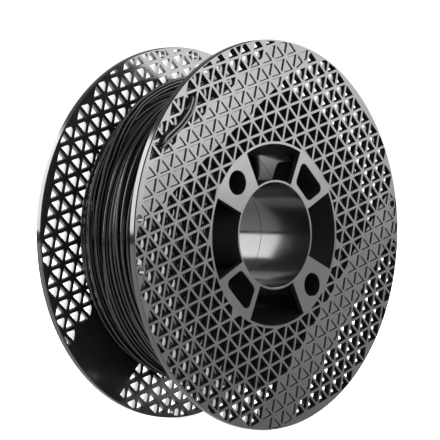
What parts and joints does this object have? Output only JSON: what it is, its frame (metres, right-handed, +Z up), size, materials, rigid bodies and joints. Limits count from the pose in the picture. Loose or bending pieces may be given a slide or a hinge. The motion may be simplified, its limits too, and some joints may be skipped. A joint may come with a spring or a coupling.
{
  "type": "filament spool",
  "caption": "Flat round spool with triangulated lattice flanges, an open hub, and a wound strand whose free end is laced through one flange.",
  "frame": {"origin": "centre of the spool, on its axis and midway between the outer faces of the two flanges", "axes": "Y along the spool's axis, the front flange (with the laced free end) facing -Y and the rear flange facing +Y; +Z up and +X to the right of someone who faces the front flange, each through the middle of a hub window"},
  "size_m": [0.2, 0.0744, 0.2],
  "materials": {
    "moulded_black": "satin to glossy injection-moulded plastic",
    "filament_black": "smooth drawn thermoplastic strand, soft gloss"
  },
  "bodies": {
    "rear_half": {"rear_half": "moulded_black"},
    "winding": {"filament_coil": "filament_black", "filament_top_turn": "filament_black"},
    "front_half": {"front_half": "moulded_black", "filament_free_end": "filament_black"}
  },
  "joints": [
    {"name": "winding_slide", "type": "slide", "parent": "rear_half", "child": "winding", "axis": [0, -1, 0], "range_m": [0, 0.045]},
    {"name": "front_half_slide", "type": "slide", "parent": "winding", "child": "front_half", "axis": [0, -1, 0], "range_m": [0, 0.045]}
  ]
}
